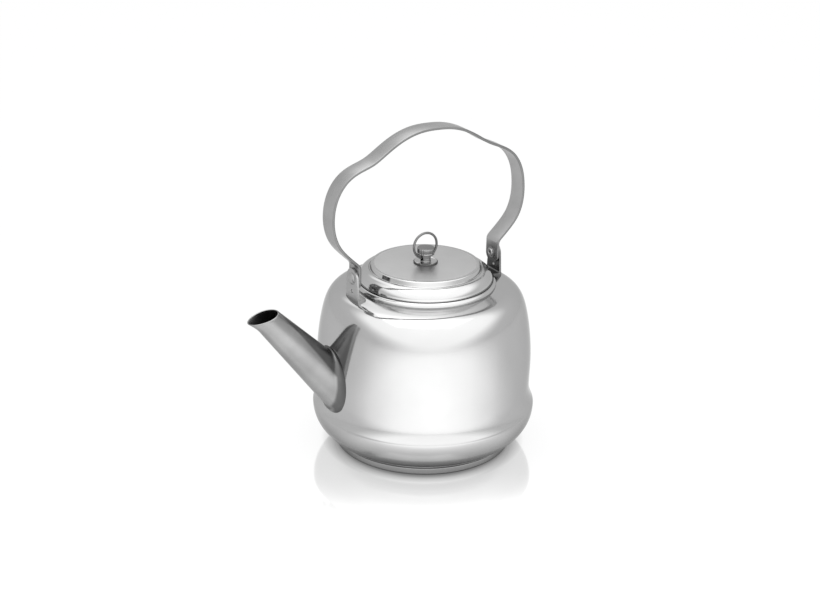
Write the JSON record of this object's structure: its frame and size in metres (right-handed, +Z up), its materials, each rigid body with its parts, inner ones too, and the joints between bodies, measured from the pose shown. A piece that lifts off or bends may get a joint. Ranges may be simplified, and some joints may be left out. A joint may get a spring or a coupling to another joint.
{
  "type": "stovetop kettle",
  "caption": "Polished stainless camp kettle: drum body on a beaded base, straight cone spout, wavy flat-strap bail on riveted brackets, lift-off stepped lid with knob and ring.",
  "frame": {"origin": "on the body's axis, at the flat bottom", "axes": "+Z up, the spout points along -X, the bail's pivots lie on one line along X"},
  "size_m": [0.2145, 0.1598, 0.2341],
  "materials": {
    "polished_steel": "mirror polished stainless steel",
    "satin_steel": "satin stainless steel"
  },
  "bodies": {
    "kettle": {"body_shell": "polished_steel", "base_pan": "polished_steel", "strainer": "satin_steel", "spout": "polished_steel", "front_bracket": "satin_steel", "rear_bracket": "satin_steel", "pivot_rivets": "satin_steel", "pivot_washers": "satin_steel"},
    "handle": {"handle_strap": "satin_steel"},
    "lid": {"lid_shell": "polished_steel", "lid_skirt": "polished_steel", "knob_rosette": "polished_steel", "knob": "polished_steel", "knob_screw": "satin_steel", "inner_washer": "satin_steel"},
    "ring": {"lift_ring": "polished_steel"}
  },
  "joints": [
    {"name": "handle_fold", "type": "hinge", "parent": "kettle", "child": "handle", "pos_m": [0, 0, 0.1335], "axis": [1, 0, 0], "range_deg": [-95, 95]},
    {"name": "lid_lift", "type": "slide", "parent": "kettle", "child": "lid", "axis": [0, 0, 1], "range_m": [0, 0.06]},
    {"name": "ring_swing", "type": "hinge", "parent": "lid", "child": "ring", "pos_m": [0, 0, 0.1386], "axis": [1, 0, 0], "range_deg": [-90, 90]}
  ]
}
